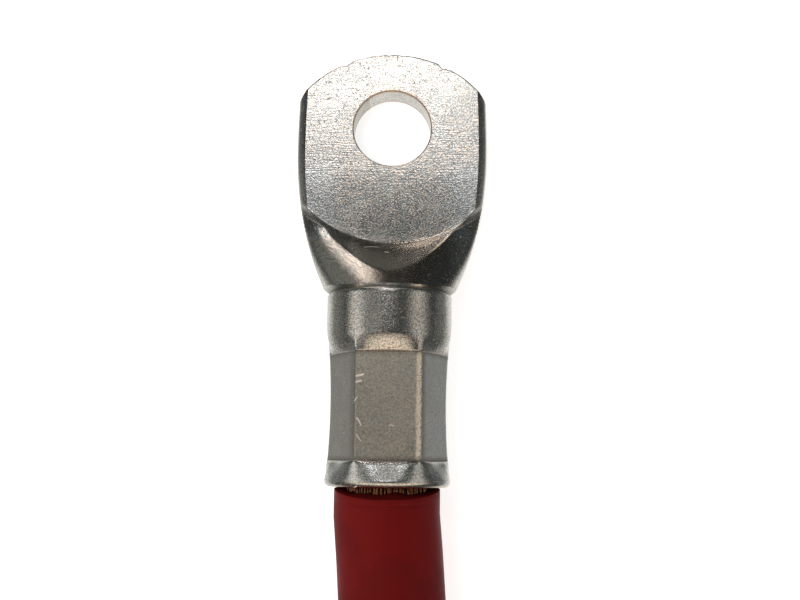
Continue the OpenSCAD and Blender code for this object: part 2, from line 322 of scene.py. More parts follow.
class LugForm:
    """Places and surfaces of the lug, worked out from its sizes."""

    def __init__(self, sizes):
        self.s = s = sizes
        self.widest_at = 2 * MM
        self.fold_at = s.flat_reach - s.flat_bow
        self.shoulder_at = s.flat_reach + s.neck
        self.barrel_at = self.shoulder_at + s.groove
        self.mouth_at = self.barrel_at + s.barrel
        self.crimp_end = self.mouth_at - s.mouth
        self.crimp_at = self.crimp_end - s.crimp
        self.bore_radius = s.tube_radius - s.wall
        self.half_flats = s.tube_radius - s.squeeze / 2
        self.neck_w = s.tube_radius + s.shoulder_flare
        self.neck_h = 2 * s.tube_radius - s.shoulder_drop
        # The press tool's edge is straight, so it meets the round neck sooner at the sides
        self.line_middle = self.shoulder_at + 0.15 * MM
        self.line_side = self.shoulder_at - 0.35 * MM
        # Round groove between that line and the end of the barrel
        self.groove_radius = s.tube_radius - 0.3 * MM

    def half_width(self, d):
        """Half the width of palm or neck."""
        s = self.s
        if d < self.widest_at:
            run = (self.widest_at - d) / (self.widest_at + s.tip_reach)
            return s.palm_width / 2 - s.palm_taper / 2 * run * run
        opened = share(d, self.widest_at, self.shoulder_at) ** FOLD_POWER
        return mix(s.palm_width / 2, self.neck_w, opened)

    def fold(self, d):
        """How far the tube has opened, from 0 on the palm to 1 at the shoulder."""
        return share(d, self.fold_at, self.shoulder_at)

    def cone_height(self, x, d):
        """Height that the press tool leaves, over the palm and up its cone."""
        out = max(0.0, math.hypot(x, d) - self.s.flat_reach)
        return self.s.palm_thickness + CONE_SLOPE * out * out / (out + CONE_FOOT)

    def pressed_ring(self, middle, edge, v):
        """One ring of palm or neck, at distance middle on the centre line and at distance
        edge on its sides, v of the way up the neck. Its points are spread from crease to
        crease on the palm, and by angle round the tube as the neck opens."""
        points = self.section(middle, edge)
        runs = [0.0]
        for a, b in zip(points, points[1:]):
            runs.append(runs[-1] + math.hypot(b.x - a.x, b.z - a.z))
        corners = [runs[k * SECTION_STEPS] for k in range(5)]
        targets = []
        for k, count in enumerate((SIDE_N, FRONT_N, SIDE_N, BACK_N)):
            targets += steps(corners[k], corners[k + 1], count)
        if v > 0:
            by_angle = self.runs_by_angle(points, runs, v)
            targets = [mix(a, b, ease(v)) for a, b in zip(targets, by_angle)]
        return [walk(points, runs, target) for target in targets]

    def section(self, middle, edge):
        """Finely spaced points once round the folded tube: the right side, the front, the
        left side and the back, closed by the first point again."""
        width, fold = self.half_width(edge), self.fold(edge)
        closed = min(1, fold / FLAT_CLOSES)
        front_flat = (width - self.s.edge_bulge) * (1 - closed * closed)
        back_flat = (width - self.s.edge_bulge) * (1 - fold)
        # The sides are pointed where the tube is folded shut, and round once it has opened
        power = 1 + (1 - fold) ** 2

        def point(x, up):
            d = mix(middle, edge, (x / width) ** 2)
            fold = self.fold(d)
            folded = mix(self.s.palm_thickness, self.neck_h, fold ** RISE_POWER)
            height = folded * (1 + up) / 2
            if up > 0:
                height = smaller(height, self.cone_height(x, d), RIDGE * math.sqrt(fold))
            return Vector((x, -d, height))

        def side(a, sign):
            flat = front_flat if a > 0 else back_flat
            reach = flat + (width - flat) * max(0.0, math.cos(a)) ** power
            return point(sign * reach, math.sin(a))

        def face(t, up):
            return point((front_flat if up > 0 else back_flat) * (1 - 2 * t), up)

        turn = [math.radians(a) for a in steps(-90, 90, SECTION_STEPS)]
        across = steps(0, 1, SECTION_STEPS)
        points = [side(a, 1) for a in turn] + [face(t, 1) for t in across]
        points += [side(-a, -1) for a in turn] + [face(1 - t, -1) for t in across]
        return points + points[:1]

    def runs_by_angle(self, points, runs, v):
        """Where the rays to the barrel's points cross a section."""
        centre = mix(self.s.palm_thickness / 2, self.s.tube_radius, v ** 2)
        angles = [math.degrees(math.atan2(p.z - centre, p.x)) for p in points]
        for k in range(1, len(angles)):
            while angles[k] < angles[k - 1] - 180:
                angles[k] += 360
        found, k = [], 0
        for i in range(AROUND):
            wanted = barrel_angle(i)
            while k < len(angles) - 2 and angles[k + 1] < wanted:
                k += 1
            between = share(wanted, angles[k], max(angles[k + 1], angles[k] + 1e-9))
            found.append(mix(runs[k], runs[k + 1], between))
        return found

    def outside_crimp(self, d):
        """How far d lies from the length that the die presses, or 0 within it."""
        return max(self.crimp_at - d, d - self.crimp_end, 0.0)

    def opening(self, d):
        """How far the barrel has opened from the crimp's end to its round form, 0 to 1. Above
        the crimp it ends on a rounded slope."""
        opened = min(1.0, self.outside_crimp(d) / self.s.slope)
        return opened if d > self.crimp_at else 1 - (1 - opened) ** 1.5

    def barrel_radius(self, angle, d):
        """Outside radius of the crimped barrel, in the direction of the angle."""
        s = self.s
        half_flats = self.half_flats + s.die_step * ease(min(1, self.outside_crimp(d) / DIE_EDGE))
        reach = s.crimp / 2 + UNFILLED_PAST
        from_middle = min(reach, abs(d - (self.crimp_at + self.crimp_end) / 2))
        waist = s.tube_radius - s.corner_draw * (1 - (from_middle / reach) ** 2)
        facing = abs(math.cos(angle))
        tube = min(s.tube_radius, waist / facing) if facing > 0.3 else s.tube_radius
        pressed = smaller(*self.facets(angle, half_flats), CORNERS)
        if d > self.crimp_end:
            soft = half_flats * (SOFT_FLAT + SOFT_CORNER * (1 + math.cos(6 * angle)) / 2)
            softened = share(d, self.crimp_end, self.crimp_end + SOFTENS_IN)
            pressed = mix(pressed, soft, softened)
        at_corner = math.cos(angle - math.radians(RUBBED_CORNER))
        if at_corner > 0.5 and d < self.crimp_end + 0.1 * MM:
            corner = half_flats / math.cos(math.radians(30)) - RUBBED
            pressed = smaller(pressed, corner / at_corner, CORNER_RIM)
        return smaller(mix(min(pressed, tube), tube, self.opening(d)), tube, CORNER_RIM)

    def bore_radius_at(self, angle, d):
        """Radius of the crimped bore, in the direction of the angle."""
        pressed = min(self.facets(angle, self.half_flats - self.s.wall))
        return mix(min(pressed, self.bore_radius), self.bore_radius, self.opening(d))

    def facets(self, angle, half_flats):
        """Radii of the two flats of the die that are nearest in the direction of the angle."""
        facing = [math.cos(angle - math.radians(flat)) for flat in range(30, 390, 60)]
        return [half_flats / nearest for nearest in sorted(facing)[-2:]]

    def round_ring(self, d, radius):
        """A ring round the barrel's axis. radius is a number, or a function of the angle and
        the distance."""
        ring = []
        for i in range(AROUND):
            angle = math.radians(barrel_angle(i))
            r = radius(angle, d) if callable(radius) else radius
            ring.append(self.round_point(angle, d, r))
        return ring

    def round_point(self, angle, d, r):
        """The point at distance d and at radius r from the barrel's axis."""
        return Vector((r * math.cos(angle), -d, self.s.tube_radius + r * math.sin(angle)))


def barrel_angle(i):
    """Angle in degrees of the i-th point round the barrel."""
    return FIRST_ANGLE + 360 * i / AROUND


def smaller(a, b, rounding):
    """The smaller of two lengths, with the edge where they cross rounded off."""
    near = max(0.0, rounding - abs(a - b))
    return min(a, b) - (near * near / (4 * rounding) if near else 0.0)


def walk(points, runs, target):
    """The point a given way along a line of points."""
    low, high = 0, len(runs) - 1
    while high - low > 1:
        centre = (low + high) // 2
        if runs[centre] <= target:
            low = centre
        else:
            high = centre
    return points[low].lerp(points[high], share(target, runs[low], runs[high] + 1e-12))


def outside_rings(form):
    """Rings of the outside, from past the tip to the lip of the mouth."""
    s = form.s
    rings = []
    for d in steps(-s.tip_reach - 2 * MM, form.widest_at, 16):
        rings.append(form.pressed_ring(d, d, 0))
    for t in steps(0, 1, 20):
        middle = mix(form.widest_at, s.flat_reach, t)
        edge = mix(form.widest_at, form.fold_at, t)
        rings.append(form.pressed_ring(middle, edge, 0))
    for v in steps(0, 1, 60) + [1]:
        middle = mix(s.flat_reach, form.line_middle, v)
        edge = mix(form.fold_at, form.line_side, v)
        rings.append(form.pressed_ring(middle, edge, v))
    for d in (form.barrel_at - 0.12 * MM, form.barrel_at - 0.02 * MM):
        rings.append(form.round_ring(d, form.groove_radius))
    corner = 0.25 * MM
    for a in (30, 60, 90):
        a = math.radians(a)
        radius = s.tube_radius - corner * (1 - math.sin(a))
        rings.append(form.round_ring(form.barrel_at + corner * (1 - math.cos(a)), radius))
    slope_at = form.crimp_at - s.slope - 0.4 * MM
    stations = steps(form.barrel_at + 0.5 * MM, slope_at, 10)
    stations += steps(slope_at, form.crimp_at - DIE_EDGE, 18)
    stations += steps(form.crimp_at - DIE_EDGE, form.crimp_at + 0.04 * MM, 4)
    stations += steps(form.crimp_at + 0.1 * MM, form.crimp_end - 0.1 * MM, 26)
    stations += steps(form.crimp_end - 0.04 * MM, form.crimp_end + DIE_EDGE, 4)
    stations += steps(form.crimp_end + DIE_EDGE, form.mouth_at - s.rim, 14)
    return rings + [form.round_ring(d, form.barrel_radius) for d in stations]


def mouth_rings(form):
    """Rings over the rounded lip and down the bore to its closed end."""
    s = form.s
    rings = []
    turn_at = form.mouth_at - s.rim
    for a in range(0, 91, 15):
        a = math.radians(a)
        back = s.rim * (1 - math.cos(a))
        rings.append(form.round_ring(
            turn_at + s.rim * math.sin(a),
            lambda angle, d: form.barrel_radius(angle, turn_at) - back,
        ))
    for inward in (0.35, 0.9, 1):
        d = form.mouth_at - 0.03 * MM * inward
        radius = mix(s.tube_radius - s.rim, form.bore_radius + s.rim, inward)
        rings.append(form.round_ring(d, radius))
    for t in (0.5, 1):
        rings.append(form.round_ring(
            mix(form.mouth_at, turn_at, t), form.bore_radius + s.rim * (1 - t)
        ))
    stations = steps(turn_at - 0.3 * MM, form.crimp_end, 8)
    stations += steps(form.crimp_end, form.crimp_at, 4)
    stations += steps(form.crimp_at, form.crimp_at - s.slope, 4)
    stations += [form.barrel_at + 1 * MM]
    return rings + [form.round_ring(d, form.bore_radius_at) for d in stations]


# How far a cutting tool stands past the palm
TOOL_PAST = 1 * MM


def spun_tool(name, form, edge, far, centre, start, sweep, count):
    """A tool that cuts down through the palm along an edge, spun about a vertical axis. It
    fills the space from the edge to the radius far."""
    above, below = form.s.palm_thickness + TOOL_PAST, -TOOL_PAST
    profile = [(far, above), (edge[0][0], above)] + edge + [(edge[-1][0], below), (far, below)]
    bm = bmesh.new()
    turned = Matrix.Rotation(math.radians(start), 3, "Z")
    verts = [bm.verts.new(centre + turned @ Vector((r, 0, z))) for r, z in profile]
    full = sweep == 360
    pairs = list(zip(verts, verts[1:])) + ([] if full else [(verts[-1], verts[0])])
    edges = [bm.edges.new(pair) for pair in pairs]
    bmesh.ops.spin(
        bm, geom=verts + edges, cent=centre, axis=(0, 0, 1), angle=math.radians(sweep),
        steps=count, use_merge=full,
    )
    bmesh.ops.remove_doubles(bm, verts=bm.verts, dist=SAME_POINT)
    bmesh.ops.holes_fill(bm, edges=[e for e in bm.edges if e.is_boundary])
    bmesh.ops.recalc_face_normals(bm, faces=bm.faces)
    return make_object(name, bm)


def rolled_edge(radius, rim, thickness, outward):
    """A cut through the palm, as (radius, height) pairs from front to back, that rolls
    over at both faces. outward is 1 for a punch and -1 for a shear."""
    over = 0.006 * MM
    front = [(radius + outward * (rim - rim * math.cos(math.radians(a))),
              thickness + over - rim + rim * math.sin(math.radians(a)))
             for a in range(90, -1, -15)]
    back = [(r, thickness - z) for r, z in reversed(front)]
    middle = [(front[-1][0], thickness * t) for t in (0.8, 0.5, 0.2)]
    return front + middle + back


def punch(form):
    """The tool that punches the stud hole."""
    edge = rolled_edge(form.s.stud_radius, 0.16 * MM, form.s.palm_thickness, 1)
    return spun_tool("punch", form, edge, 0, Vector((0, 0, 0)), 0, 360, 160)


# Raggedness of the sheared tip in millimetres, and the places where the shear tore its front
# edge, as (angle from the middle, half the width in degrees, depth in millimetres)
RAGGED = 0.03
TORN = ((-24, 1.1, 0.3), (-22, 0.8, 0.16), (25.5, 1.6, 0.3), (28.5, 0.7, 0.15), (-2, 0.8, 0.1),
        (4.5, 0.6, 0.12))


def shear(form):
    """The tool that shears the tip round, with a slightly ragged edge."""
    s = form.s
    edge = rolled_edge(s.tip_radius, 0.22 * MM, s.palm_thickness, -1)
    centre = Vector((0, s.tip_reach - s.tip_radius, 0))
    tool = spun_tool("shear", form, edge, s.tip_radius + 6 * MM, centre, 25, 130, 170)
    for vert in tool.data.vertices:
        from_axis = vert.co - centre
        if from_axis.to_2d().length < s.tip_radius + 1 * MM:
            ragged = bumps(*vert.co, 0.5 * MM) + 0.6 * bumps(*vert.co, 0.2 * MM, 7)
            turn = math.degrees(math.atan2(from_axis.x, from_axis.y))
            torn = sum(depth * math.exp(-((turn - at) / wide) ** 2) for at, wide, depth in TORN)
            torn *= share(vert.co.z, 0.3 * s.palm_thickness, 0.8 * s.palm_thickness)
            out = RAGGED * ragged - torn
            vert.co += from_axis.to_2d().normalized().to_3d() * out * MM
    return tool


def add_mask(obj, name, value):
    """Stores a mask, worked out at each point of the mesh from its place."""
    attribute = obj.data.attributes.new(name, "FLOAT", "POINT")
    values = [value(v.co.x, -v.co.y, v.co.z) for v in obj.data.vertices]
    attribute.data.foreach_set("value", values)


# The front flat of the crimp ends this many degrees to each side of the top
FLAT_ENDS = 31
# Half the length over which the masks of the crimp fade
FADE = 0.1 * MM


def mark_lug(lug, form):
    """Marks where the metal is pressed flat, worn or dirty, and where shade and highlights are
    painted.
    """
    s = form.s
    front_at = s.palm_thickness - 0.05 * MM

    def angle(x, z):
        return math.degrees(math.atan2(z - s.tube_radius, x))

    def beside(x, z):
        # Degrees from the top of the barrel, or from its underside
        return abs(abs(angle(x, z)) - 90)

    def in_crimp(d):
        return min(share(d, form.crimp_at - FADE, form.crimp_at + FADE),
                   share(-d, -form.crimp_end - FADE, -form.crimp_end + FADE))

    def palm(x, d, z):
        flat = z > front_at and d < s.flat_reach
        return 1.0 if flat and abs(x) < s.palm_width / 2 - s.edge_bulge * 0.9 else 0.0

    def brushed(x, d, z):
        return palm(x, d, z) * (1 - ease(share(d, 4.5 * MM, 7.5 * MM)))

    def foot(x, d, z):
        # Along the foot of the press tool's cone, which is rougher and carries painted shade
        out = (math.hypot(x, d) - s.flat_reach) / MM
        return ease(share(out, -0.8, 0.0)) * (1 - ease(share(out, 0.5, 1.5)))

    def valley(x, d, z):
        # Painted shade between that foot and the shoulder, on the front
        if z <= front_at or not 0 < d < form.shoulder_at:
            return 0.0
        out = share(math.hypot(x, d) - s.flat_reach, -0.2 * MM, 1.2 * MM)
        past = share(x, 5.5 * MM, 7.5 * MM) if x > 0 else share(-x, 1.4 * MM, 3.7 * MM)
        return ease(out) * (1 - ease(past))

    def side(x, d, z):
        # The sides of the crimp, and weaker those of the flared mouth
        if d > form.crimp_end + FADE:
            return 0.7 * share(beside(x, z), 20, 36)
        return in_crimp(d) if beside(x, z) > FLAT_ENDS else 0.0

    def pressed(x, d, z):
        return in_crimp(d) * (1 - side(x, d, z))

    def seam(x, d, z):
        # Painted shade beside the corners of the front, more so on the right
        deep = 1.0 if x > 0 else 0.65
        past = share(beside(x, z) - FLAT_ENDS, 4, 11)
        return in_crimp(d) * side(x, d, z) * deep * (1 - ease(past))

    def corner(x, d, z):
        # The rubbed corner of the crimp, painted bright as a highlight
        return in_crimp(d) * (1 - share(abs(angle(x, z) - RUBBED_CORNER), 2.0, 3.5))

    def pale(x, d, z):
        # Paler at the lower corners of the palm, round the mouth and on the crimp's right
        across = share(abs(x), 4.5 * MM, 8 * MM)
        on_palm = palm(x, d, z) * ease(across) * ease(share(d, 2.5 * MM, 6 * MM))
        mouth = 0.6 * share(d, form.crimp_end + FADE, form.crimp_end + 0.3 * MM)
        right = 0.8 * in_crimp(d) * side(x, d, z) if x > 0 else 0.0
        return max(on_palm, mouth, right)

    def bare(x, d, z):
        # The rolled edge of the hole, the sheared tip and the lip of the mouth
        rolled = 1 - share(min(z, s.palm_thickness - z), 0.15 * MM, 0.5 * MM)
        hole = 1 - share(math.hypot(x, d) - s.stud_radius, 0.02 * MM, 0.16 * MM)
        from_tip = math.hypot(x, d + s.tip_reach - s.tip_radius) - s.tip_radius
        sheared = share(from_tip, -0.14 * MM, -0.04 * MM) if d < 0 else 0.0
        lip = share(d, form.mouth_at - 0.2 * MM, form.mouth_at - 0.05 * MM)
        return max(hole * rolled, sheared, lip)

    def grime(x, d, z):
        # Darker in the groove and along the ends of the crimp, partly dirt and partly painted
        # shade in those recesses, and painted shade on the left wall of the hole
        groove = 1 - share(abs(d - form.barrel_at + 0.08 * MM), 0.04 * MM, 0.2 * MM)
        from_end = min(abs(d - form.crimp_at), abs(d - form.crimp_end))
        ends = 0.7 * (1 - share(from_end, 0.03 * MM, 0.2 * MM))
        wall = math.hypot(x, d) < s.stud_radius + 0.02 * MM and x < -2.5 * MM
        return max(groove, ends, 0.4 if wall else 0.0)

    for value in (palm, brushed, foot, valley, side, pressed, seam, corner, pale, bare, grime):
        add_mask(lug, value.__name__, value)


class LUG_OT_lug(bpy.types.Operator):
    """Press the tube into palm, neck and crimped barrel, and cut its tip and hole"""

    bl_idname = "cable_lug.lug"
    bl_label = "Lug"

    def execute(self, context):
        form = LugForm(context.scene.lug_sizes)
        lug = wrapped_sheet("lug_pressed", outside_rings(form) + mouth_rings(form))
        cut(lug, punch(form))
        cut(lug, shear(form))
        smooth(lug, 32)
        keep_flats_flat(lug)
        mark_lug(lug, form)
        finish_piece(lug, "lug", tinned_copper(context.scene.colours))
        return {"FINISHED"}


# The cable

# Spacing of the points along the cable's line
LINE_SPACING = 1.5 * MM
# How far the wires and the heart of the core reach into the mouth
WIRES_INSIDE = 1.4 * MM


def jacket_at(form, cable):
    """Distance of the jacket's front."""
    return form.mouth_at + cable.bare


def cable_line(form, cable):
    """Smooth centre line of the cable past its jacket's front."""
    start = jacket_at(form, cable)
    high, low = form.s.tube_radius, cable.core_radius + cable.jacket_wall
    knots = [Vector((x * MM, -start - y * MM, mix(high, low, sunk))) for x, y, sunk in ROUTE]
    ends = [2 * knots[0] - knots[1]] + knots + [2 * knots[-1] - knots[-2]]
    line = []
    for a, b, c, d in zip(ends, ends[1:], ends[2:], ends[3:]):
        for t in steps(0, 1, max(1, round((c - b).length / LINE_SPACING))):
            line.append(0.5 * (
                2 * b + (c - a) * t + (2 * a - 5 * b + 4 * c - d) * t * t
                + (3 * b - a - 3 * c + d) * t * t * t
            ))
    return line + [knots[-1]]


def line_frames(line):
    """At each point of a line: the point, and the directions across, up and along."""
    frames = []
    for k, point in enumerate(line):
        along = (line[min(k + 1, len(line) - 1)] - line[max(k - 1, 0)]).normalized()
        across = Vector((0, 0, 1)).cross(along).normalized()
        frames.append((point, across, along.cross(across), along))
    return frames


def tube_ring(place, radius, around, shift=0.0):
    """A ring square to the line. radius and shift may be functions of the angle."""
    point, across, up, along = place
    ring = []
    for i in range(around):
        a = 2 * math.pi * i / around
        r = radius(a) if callable(radius) else radius
        forward = shift(a) if callable(shift) else shift
        ring.append(point + r * (math.cos(a) * across + math.sin(a) * up) + forward * along)
    return ring


# Points round the jacket
JACKET_AROUND = 96


def tongue(angle, middle, wide):
    """A tongue of the jacket's front edge: 1 at its middle, fading over wide degrees."""
    return math.exp(-((angle - math.radians(middle)) / math.radians(wide)) ** 2)


def front_edge(a):
    """Shift of the jacket's front edge, away from the mouth, in the direction of the angle.
    The edge reaches nearer to the mouth at the sides and the back than on top, where only
    a small tongue stands out."""
    wave = 0.05 * MM * bumps(math.cos(a), math.sin(a), 0, 0.6)
    drawn = 1.0 * MM * (1 - max(0, math.sin(a)))
    return wave - 0.1 * MM - 0.06 * MM * tongue(a, 82, 13) - drawn


def inner_edge(a):
    """The same for the edge inside. The knife went in askew, so the cut face shows on top."""
    return front_edge(a) - (0.45 + 0.25 * tongue(a, 78, 10)) * MM * max(0, math.sin(a)) ** 2


# A faint crease runs round behind the edge, where the stripper held the jacket: how far back
# each of its rings lies and how deep it is on top, in millimetres
CREASE = ((0.4, 0), (0.5, 0.05), (0.6, 0.07), (0.7, 0.02), (0.85, 0))


def jacket_rings(frames, cable):
    """Rings of the jacket: the outside, the cut end, the inside and the front edge."""
    inner = cable.core_radius - 0.05 * MM
    outer = cable.core_radius + cable.jacket_wall
    first, last = frames[0], frames[-1]
    rings = []
    rim, end, slant = 0.14 * MM, 0.08 * MM, 0.1 * MM

    def add(place, radius, shift=0.0):
        rings.append(tube_ring(place, radius, JACKET_AROUND, shift))

    for turn in (0, 45, 90):
        turn = math.radians(turn)
        back = rim * (1 - math.cos(turn))
        add(first, outer - rim * (1 - math.sin(turn)), lambda a: front_edge(a) + back)
    for back, dent in CREASE:
        add(first, lambda a: outer - dent * MM * max(0, math.sin(a)),
            lambda a: 0.5 * front_edge(a) + back * MM)
    for place in frames[1:-1]:
        add(place, outer)
    add(last, outer, -end)
    add(last, outer - end)
    add(last, inner + end)
    add(last, inner, -end)
    for place in reversed(frames[1:-1]):
        add(place, inner)
    add(first, inner, lambda a: inner_edge(a) + slant)
    add(first, inner + slant, inner_edge)
    return rings


class LUG_OT_jacket(bpy.types.Operator):
    """Lay the red jacket along the cable's line"""

    bl_idname = "cable_lug.jacket"
    bl_label = "Jacket"

    def execute(self, context):
        scene = context.scene
        form, cable = LugForm(scene.lug_sizes), scene.cable_sizes
        line = cable_line(form, cable)
        frames = line_frames(line)
        jacket = wrapped_sheet("jacket", jacket_rings(frames, cable), closed=True)
        smooth(jacket, 40)
        outer, front = cable.core_radius + cable.jacket_wall, jacket_at(form, cable)
        add_mask(jacket, "cut_edge", lambda x, d, z: (
            share(outer - math.hypot(x, z - form.s.tube_radius), 0.03 * MM, 0.2 * MM)
            * (1 - share(d, front, front + 1 * MM))
        ))
        finish_piece(jacket, "cable_jacket", red_jacket(context.scene.colours))
        return {"FINISHED"}


# The wires: points round each one, their layers at the mouth, how far apart they lie at the
# mouth and at the cut end, in wires, and the share of the outer ones that have come loose
WIRE_AROUND = 8
LAYERS, LAYER_PITCH = 3, 0.9
MOUTH_PITCH, CUT_PITCH = 1.3, 1.13
LOOSE = 0.22


def add_wire(bm, start, end, radius):
    """One straight wire from start to end."""
    along = end - start
    turn = along.to_track_quat("Z", "Y").to_matrix().to_4x4()
    bmesh.ops.create_cone(
        bm, cap_ends=True, segments=WIRE_AROUND, radius1=radius, radius2=radius,
        depth=along.length, matrix=Matrix.Translation((start + end) / 2) @ turn,
    )


def packed_places(radius, pitch):
    """Places of round wires packed in a bundle, as (x, y) pairs."""
    places = []
    rows = int(radius / (pitch * math.sqrt(3) / 2)) + 1
    for row in range(-rows, rows + 1):
        for column in range(-rows * 2, rows * 2 + 1):
            x = (column + (row % 2) / 2) * pitch
            y = row * pitch * math.sqrt(3) / 2
            if math.hypot(x, y) <= radius:
                places.append((x, y))
    return places


def mouth_wires(bm, form, cable, rng):
    """Wires that show between the mouth and the jacket, in a few layers."""
    start, end = form.mouth_at - WIRES_INSIDE, jacket_at(form, cable) + 1 * MM
    radius = cable.wire / 2
    for layer in range(LAYERS):
        r = cable.core_radius - radius - layer * LAYER_PITCH * cable.wire - 0.05 * MM
        count = int(2 * math.pi * r / (MOUTH_PITCH * cable.wire))
        for i in range(count):
            a = 2 * math.pi * (i + 0.5 * (layer % 2) + rng.uniform(-0.2, 0.2)) / count
            loose = rng.random() < LOOSE and layer == 0
            stop = form.mouth_at + rng.uniform(0.3, 0.8) * cable.bare if loose else end
            lean = rng.uniform(-0.03, 0.03)
            lift = rng.uniform(0.0, 0.12) * MM if loose else rng.uniform(-0.03, 0.02) * MM
            near = form.round_point(a, start, r * 0.94)
            far = form.round_point(a + lean, stop, r + lift)
            add_wire(bm, near, far, radius)


def cut_wires(bm, place, cable, rng):
    """Wires packed at the cut end of the cable."""
    point, across, up, along = place
    radius = cable.wire / 2
    for x, y in packed_places(cable.core_radius - 0.05 * MM - radius, CUT_PITCH * cable.wire):
        x += rng.uniform(-0.02, 0.02) * MM
        y += rng.uniform(-0.02, 0.02) * MM
        tip = point + across * x + up * y + along * rng.uniform(-0.06, 0.04) * MM
        add_wire(bm, tip - along * 1.2 * MM, tip, radius * rng.uniform(0.94, 1.04))


class LUG_OT_strands(bpy.types.Operator):
    """Bundle the copper wires that show at the mouth and at the cut end"""

    bl_idname = "cable_lug.strands"
    bl_label = "Strands"

    def execute(self, context):
        scene = context.scene
        form, cable = LugForm(scene.lug_sizes), scene.cable_sizes
        rng = random.Random(7)
        frames = line_frames(cable_line(form, cable))
        bm = bmesh.new()
        mouth_wires(bm, form, cable, rng)
        cut_wires(bm, frames[-1], cable, rng)
        # A solid heart fills the bundle under the wires, painted dark as shade with the wires
        # deep in the bundle
        heart = cable.core_radius - 3.2 * cable.wire
        inside = [form.round_point(0, form.mouth_at - WIRES_INSIDE, 0)]
        places = line_frames(inside + [f[0] for f in frames[:-1]])
        core = wrapped_sheet("core", [tube_ring(p, heart, 32) for p in places])
        bm.from_mesh(core.data)
        bpy.data.objects.remove(core)
        strands = make_object("strands", bm)
        smooth(strands, 50)
        # Painted shade on the wires and the heart deep in the bundle near the mouth
        top = cable.core_radius - 0.2 * cable.wire
        add_mask(strands, "deep", lambda x, d, z: (
            share(top - math.hypot(x, z - form.s.tube_radius), 0.0, 0.45 * MM)
            * (1 - share(d, form.mouth_at + 3 * MM, form.mouth_at + 4 * MM))
        ))
        finish_piece(strands, "conductor", bare_copper(context.scene.colours))
        return {"FINISHED"}


# Materials

def feed(node, inputs):
    """Sets the inputs of a shader node, given as values or as sockets to link."""
    for key, value in inputs.items():
        if isinstance(value, bpy.types.NodeSocket):
            node.id_data.links.new(value, node.inputs[key])
        else:
            node.inputs[key].default_value = value


def put(tree, kind, inputs, **settings):
    """Adds a shader node with its settings and its inputs."""
    node = tree.nodes.new("ShaderNode" + kind)
    for name, value in settings.items():
        setattr(node, name, value)
    feed(node, inputs)
    return node


def number(tree, operation, *values):
    """A Math node's result."""
    return put(tree, "Math", dict(enumerate(values)), operation=operation).outputs[0]


def times(tree, product, *others):
    """Numbers multiplied."""
    for other in others:
        product = number(tree, "MULTIPLY", product, other)
    return product


def total(tree, base, *parts):
    """A number with parts added to it, each of them a mask and its amount."""
    for part, amount in parts:
        base = number(tree, "MULTIPLY_ADD", part, amount, base)
    return base


def vector(tree, operation, *values, **named):
    """A Vector Math node's result."""
    inputs = {**dict(enumerate(values)), **named}
    return put(tree, "VectorMath", inputs, operation=operation).outputs[0]


def blend(tree, factor, a, b):
    """Two colours mixed by a mask."""
    inputs = {"Factor": factor, "A": a, "B": b}
    return put(tree, "Mix", inputs, data_type="RGBA").outputs["Result"]


def ramp(tree, value, low, high, to_low=0.0, to_high=1.0):
    """A value taken smoothly from one range to another."""
    return put(tree, "MapRange", {
        "Value": value, "From Min": low, "From Max": high, "To Min": to_low, "To Max": to_high,
    }, interpolation_type="SMOOTHSTEP").outputs["Result"]


def cloud(tree, place, scale, detail, **more):
    """Cloudy noise from 0 to 1."""
    inputs = {"Vector": place, "Scale": scale, "Detail": detail, **more}
    return put(tree, "TexNoise", inputs).outputs[0]


def new_group(name, numbers, outputs, vectors=("Vector",)):
    """A shader node group, and its sockets as seen from inside. numbers holds the default
    of each number that it takes."""
    tree = bpy.data.node_groups.new(name, "ShaderNodeTree")

    def socket(label, in_out, kind):
        return tree.interface.new_socket(name=label, in_out=in_out, socket_type=kind)

    for label in vectors:
        socket(label, "INPUT", "NodeSocketVector")
    for label, default in numbers.items():
        socket(label, "INPUT", "NodeSocketFloat").default_value = default
    for label in outputs:
        socket(label, "OUTPUT", "NodeSocketFloat")
    return tree, tree.nodes.new("NodeGroupInput").outputs, tree.nodes.new("NodeGroupOutput")


def use_group(tree, build, place, **inputs):
    """The outputs of a shared node group, built when a material first asks for it."""
    name = build.__name__.removesuffix("_group")
    group = bpy.data.node_groups.get(name) or build(name)
    return put(tree, "Group", {"Vector": place, **inputs}, node_tree=group).outputs


def grain_group(name):
    """Fine speckle of a worked surface, in two sizes."""
    tree, inside, outside = new_group(name, {"Size": 0.15}, ("Value", "Fine"))
    scale = number(tree, "DIVIDE", 1.0, inside["Size"])
    feed(outside, {
        "Value": cloud(tree, inside["Vector"], scale, 2.0, Roughness=0.6),
        "Fine": cloud(tree, inside["Vector"], times(tree, scale, 2.3), 1.0),
    })
    return tree


def patches_group(name):
    """Broad uneven patches, such as stains and dulled places."""
    tree, inside, outside = new_group(name, {"Size": 2.0, "Cover": 0.5}, ("Mask",))
    scale = number(tree, "DIVIDE", 1.0, inside["Size"])
    value = cloud(tree, inside["Vector"], scale, 4.0, Roughness=0.6, Distortion=0.3)
    # A larger cover lets the patches start at a lower value of the noise
    low = total(tree, 0.7, (inside["Cover"], -0.5))
    feed(outside, {"Mask": ramp(tree, value, low, number(tree, "ADD", low, 0.18))})
    return tree


def bent_mark(tree, place, turn, length, width, bend, full, reach):
    """One short bent line. full is the share of its width at which it starts to fade, and
    reach holds the shares of its length at which it starts to fade and ends."""
    turned = put(tree, "VectorRotate", {"Vector": place, "Angle": turn}, rotation_type="Z_AXIS")
    place = put(tree, "SeparateXYZ", {0: turned.outputs[0]}).outputs
    along = number(tree, "DIVIDE", place["X"], length)
    bent = number(tree, "ADD", place["Y"], times(tree, along, along, bend))
    off = number(tree, "DIVIDE", number(tree, "ABSOLUTE", bent), width)
    across = ramp(tree, off, full, 1.0, 1.0, 0.0)
    return times(tree, across, ramp(tree, number(tree, "ABSOLUTE", along), *reach, 1.0, 0.0))


